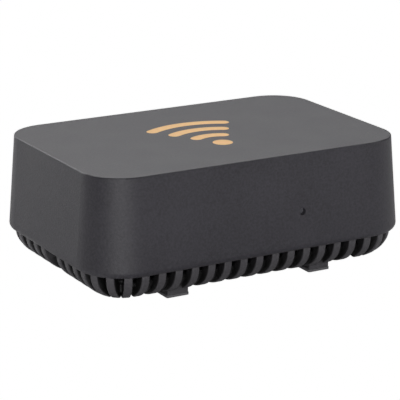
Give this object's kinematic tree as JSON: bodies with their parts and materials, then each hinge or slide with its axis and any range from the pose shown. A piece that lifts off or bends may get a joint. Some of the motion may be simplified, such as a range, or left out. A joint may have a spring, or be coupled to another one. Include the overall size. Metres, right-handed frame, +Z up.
{
  "type": "cellular signal booster",
  "caption": "Low rounded-box desktop cellular signal booster with a ribbed vented base, small feet, a front indicator hole and a recessed rear connector bay with a push button.",
  "frame": {"origin": "centre of the underside, on the surface that the feet stand on", "axes": "+Z up; +X along the long side, to the right when the indicator side is seen; -Y is the indicator side and +Y the connector side"},
  "size_m": [0.1302, 0.0888, 0.048],
  "materials": {
    "antenna_laminate": "bare glass laminate",
    "base_plastic": "fine moulded texture",
    "board_laminate": "green solder mask",
    "button_plastic": "moulded",
    "cable_jacket": "FEP jacket",
    "capacitor_can": "drawn can",
    "case_screw_steel": "black zinc",
    "ceramic": "fired ceramic",
    "chip_package": "moulded epoxy",
    "copper": "bare copper",
    "cover_plastic": "fine moulded spark texture",
    "duplexer_ceramic": "silver-coated ceramic",
    "ferrite": "pressed ferrite",
    "foot_rubber": "matte",
    "gold_brass": "gold plated",
    "jack_plastic": "moulded nylon",
    "led_package": "clear resin on white",
    "light_pipe_acrylic": "smoke-tinted acrylic",
    "panel_plastic": "fine moulded texture",
    "plated_steel": "nickel plated",
    "ptfe": "smooth",
    "screw_steel": "zinc plated",
    "shield_tin": "tin plated sheet",
    "sink_aluminium": "extruded, satin",
    "spacer_brass": "turned",
    "switch_body": "moulded",
    "switch_plunger": "moulded",
    "thermal_pad": "soft, matte"
  },
  "bodies": {
    "case": {"antenna_board": "antenna_laminate", "antenna_cable": "cable_jacket", "antenna_ground": "copper", "antenna_patch": "copper", "antenna_socket": "gold_brass", "antenna_socket_contact": "gold_brass", "antenna_socket_insulator": "ptfe", "antenna_socket_nut": "plated_steel", "antenna_socket_washer": "plated_steel", "board_screws": "screw_steel", "cable_plugs": "gold_brass", "cable_sockets": "gold_brass", "case_screws": "case_screw_steel", "chip_capacitors": "ceramic", "control_processor": "chip_package", "downlink_amplifier": "chip_package", "downlink_duplexer": "duplexer_ceramic", "downlink_shield_frame": "shield_tin", "downlink_shield_lid": "shield_tin", "foot_pad_front_left": "foot_rubber", "foot_pad_front_right": "foot_rubber", "foot_pad_rear_left": "foot_rubber", "foot_pad_rear_right": "foot_rubber", "heat_sink": "sink_aluminium", "heat_sink_screws": "screw_steel", "heat_sink_spacers": "spacer_brass", "light_pipe": "light_pipe_acrylic", "main_board": "board_laminate", "power_capacitors": "capacitor_can", "power_inductors": "ferrite", "power_jack": "jack_plastic", "power_jack_pin": "plated_steel", "rear_panel": "panel_plastic", "reference_oscillator": "shield_tin", "reset_switch": "switch_body", "status_led": "led_package", "thermal_pads": "thermal_pad", "top_cover": "cover_plastic", "uplink_amplifier": "chip_package", "uplink_duplexer": "duplexer_ceramic", "uplink_shield_frame": "shield_tin", "uplink_shield_lid": "shield_tin", "vent_base": "base_plastic"},
    "button": {"reset_button": "button_plastic", "switch_plunger": "switch_plunger"}
  },
  "joints": [
    {"name": "reset_press", "type": "slide", "parent": "case", "child": "button", "axis": [0, -1, 0], "range_m": [0, 0.0005], "stiffness_N_per_m": 3000, "springref_m": -0.0002}
  ]
}
